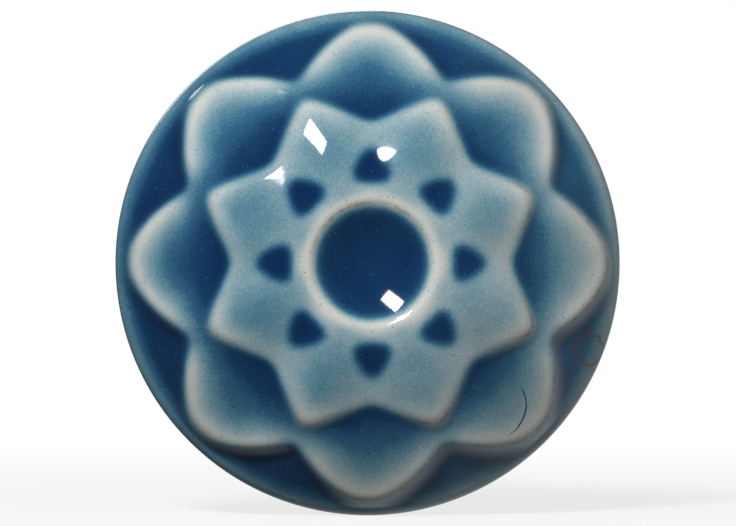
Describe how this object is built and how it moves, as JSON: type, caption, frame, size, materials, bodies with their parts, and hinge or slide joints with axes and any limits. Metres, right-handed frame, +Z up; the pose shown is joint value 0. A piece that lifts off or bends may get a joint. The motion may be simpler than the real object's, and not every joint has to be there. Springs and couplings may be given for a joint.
{
  "type": "ceramic cabinet knob",
  "caption": "Round domed knob in glazed ceramic with a petal and star relief round a small bowl, on a turned collar, with a bolt, washers and nut to fix it through a drawer front.",
  "frame": {"origin": "centre of the mounting face, where the collar meets the drawer front", "axes": "-Y out of the drawer front, the way the knob faces; +Y along the bolt into the drawer; +Z up; +X to the right as seen from the front"},
  "size_m": [0.042, 0.0625, 0.042],
  "materials": {
    "celadon_glaze": "gloss celadon glaze, thin and pale on edges, deep blue in hollows",
    "cement": "matt set cement",
    "zinc_steel": "bright zinc plate",
    "spring_steel": "dark phosphated spring steel",
    "gasket_rubber": "matt black rubber",
    "aged_brass": "turned brass, slightly aged"
  },
  "bodies": {
    "knob": {"knob_head": "celadon_glaze", "cement_fill": "cement", "mounting_bolt": "zinc_steel", "seat_gasket": "gasket_rubber", "base_collar": "aged_brass"},
    "washers": {"flat_washer": "zinc_steel", "lock_washer": "spring_steel"},
    "nut": {"hex_nut": "zinc_steel"}
  },
  "joints": [
    {"name": "nut_travel", "type": "slide", "parent": "knob", "child": "washers", "axis": [0, 1, 0], "range_m": [-0.01795, 0.0124]},
    {"name": "nut_spin", "type": "hinge", "parent": "washers", "child": "nut", "pos_m": [0, 0.02312, 0], "axis": [0, 1, 0], "range_deg": [-9235, 6380]}
  ],
  "couplings": [
    {"joint": "nut_spin", "follows": "nut_travel", "rad_per_m": 8976}
  ]
}
